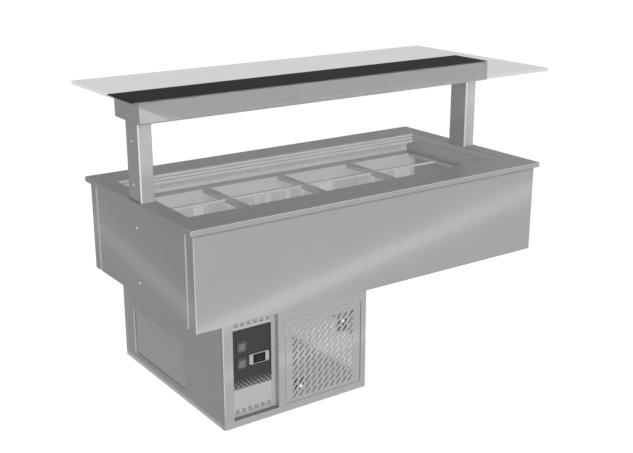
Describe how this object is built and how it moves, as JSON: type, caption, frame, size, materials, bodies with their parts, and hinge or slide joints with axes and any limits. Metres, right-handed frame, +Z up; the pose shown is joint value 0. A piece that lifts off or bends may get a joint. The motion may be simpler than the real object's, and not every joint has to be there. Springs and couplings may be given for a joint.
{
  "type": "refrigerated serving counter",
  "caption": "Stainless drop-in style cold well with lift-out pan bars, a lit canopy on two posts carrying a glass shelf, and an offset condensing unit below.",
  "frame": {"origin": "centre of the overall box at floor level, under the middle of the counter rim", "axes": "+X along the counter to the right seen from the control side, +Y from the control side to the back, +Z up"},
  "size_m": [1.602, 0.812, 1.096],
  "materials": {
    "stainless": "satin",
    "galvanised": "satin",
    "dark_steel": "satin",
    "foam": "matte",
    "fins": "satin",
    "copper": "satin",
    "black_plastic": "matte",
    "grey_plastic": "satin",
    "pale_plastic": "satin",
    "black_label": "satin",
    "boot": "satin",
    "window": "gloss",
    "diffuser": "matte",
    "white_plastic": "satin",
    "black_band": "matte",
    "glass": "polished",
    "drain_plastic": "satin"
  },
  "bodies": {
    "counter": {"counter_rim": "stainless", "front_panel": "stainless", "rear_panel": "stainless", "left_end_panel": "stainless", "right_end_panel": "stainless", "well_tank": "stainless", "supply_duct": "stainless", "return_duct": "stainless", "fan_plate": "stainless", "left_post": "stainless", "right_post": "stainless", "post_spigots": "stainless", "canopy_housing": "stainless", "canopy_ends": "stainless", "front_frame": "stainless", "left_side": "stainless", "access_panel": "stainless", "unit_wrap": "stainless", "control_cassette": "stainless", "condenser_grille": "stainless", "panel_screws": "stainless", "body_base": "galvanised", "unit_base": "galvanised", "electrical_box": "galvanised", "fan_shroud": "galvanised", "insulation": "foam", "evaporator_coil": "fins", "condenser_coil": "fins", "refrigerant_pipes": "copper", "compressor": "dark_steel", "condenser_motor": "dark_steel", "evaporator_motors": "dark_steel", "cable_gland": "black_plastic", "drain_spigot": "drain_plastic", "lamp_strip": "white_plastic", "lamp_diffuser": "diffuser", "shelf_band": "black_band", "glass_shelf": "glass", "control_label": "black_label", "switch_bodies": "grey_plastic", "controller": "pale_plastic", "controller_window": "window"},
    "pan_bars": {"column_bar_1": "stainless", "column_bar_2": "stainless", "column_bar_3": "stainless", "column_bar_4": "stainless", "column_bar_5": "stainless"},
    "row_bar_1": {"row_bar_1": "stainless"},
    "row_bar_2": {"row_bar_2": "stainless"},
    "row_bar_3": {"row_bar_3": "stainless"},
    "row_bar_4": {"row_bar_4": "stainless"},
    "evaporator_fan_left": {"evaporator_fan_left": "black_plastic"},
    "evaporator_fan_right": {"evaporator_fan_right": "black_plastic"},
    "condenser_fan": {"condenser_fan": "black_plastic"},
    "rocker_upper": {"rocker_upper": "boot"},
    "rocker_lower": {"rocker_lower": "boot"},
    "controller_key_1": {"controller_key_1": "pale_plastic"},
    "controller_key_2": {"controller_key_2": "pale_plastic"},
    "controller_key_3": {"controller_key_3": "pale_plastic"},
    "controller_key_4": {"controller_key_4": "pale_plastic"}
  },
  "joints": [
    {"name": "pan_bars_lift", "type": "slide", "parent": "counter", "child": "pan_bars", "axis": [0, 0, 1], "range_m": [0, 0.12]},
    {"name": "row_bar_1_lift", "type": "slide", "parent": "pan_bars", "child": "row_bar_1", "axis": [0, 0, 1], "range_m": [0, 0.12]},
    {"name": "row_bar_2_lift", "type": "slide", "parent": "pan_bars", "child": "row_bar_2", "axis": [0, 0, 1], "range_m": [0, 0.12]},
    {"name": "row_bar_3_lift", "type": "slide", "parent": "pan_bars", "child": "row_bar_3", "axis": [0, 0, 1], "range_m": [0, 0.12]},
    {"name": "row_bar_4_lift", "type": "slide", "parent": "pan_bars", "child": "row_bar_4", "axis": [0, 0, 1], "range_m": [0, 0.12]},
    {"name": "evaporator_fan_left_spin", "type": "hinge", "parent": "counter", "child": "evaporator_fan_left", "pos_m": [-0.25, 0.01, 0.481], "axis": [0, 1, 0], "continuous": true},
    {"name": "evaporator_fan_right_spin", "type": "hinge", "parent": "counter", "child": "evaporator_fan_right", "pos_m": [0.25, 0.01, 0.481], "axis": [0, 1, 0], "continuous": true},
    {"name": "condenser_fan_spin", "type": "hinge", "parent": "counter", "child": "condenser_fan", "pos_m": [-0.24, -0.258, 0.146], "axis": [0, 1, 0], "continuous": true},
    {"name": "rocker_upper_tilt", "type": "hinge", "parent": "counter", "child": "rocker_upper", "pos_m": [-0.563, -0.3518, 0.282], "axis": [-1, 0, 0], "range_deg": [0, 14]},
    {"name": "rocker_lower_tilt", "type": "hinge", "parent": "counter", "child": "rocker_lower", "pos_m": [-0.563, -0.3518, 0.2205], "axis": [-1, 0, 0], "range_deg": [0, 14]},
    {"name": "controller_key_1_press", "type": "slide", "parent": "counter", "child": "controller_key_1", "axis": [0, 1, 0], "range_m": [0, 0.0008], "stiffness_N_per_m": 800},
    {"name": "controller_key_2_press", "type": "slide", "parent": "counter", "child": "controller_key_2", "axis": [0, 1, 0], "range_m": [0, 0.0008], "stiffness_N_per_m": 800},
    {"name": "controller_key_3_press", "type": "slide", "parent": "counter", "child": "controller_key_3", "axis": [0, 1, 0], "range_m": [0, 0.0008], "stiffness_N_per_m": 800},
    {"name": "controller_key_4_press", "type": "slide", "parent": "counter", "child": "controller_key_4", "axis": [0, 1, 0], "range_m": [0, 0.0008], "stiffness_N_per_m": 800}
  ]
}
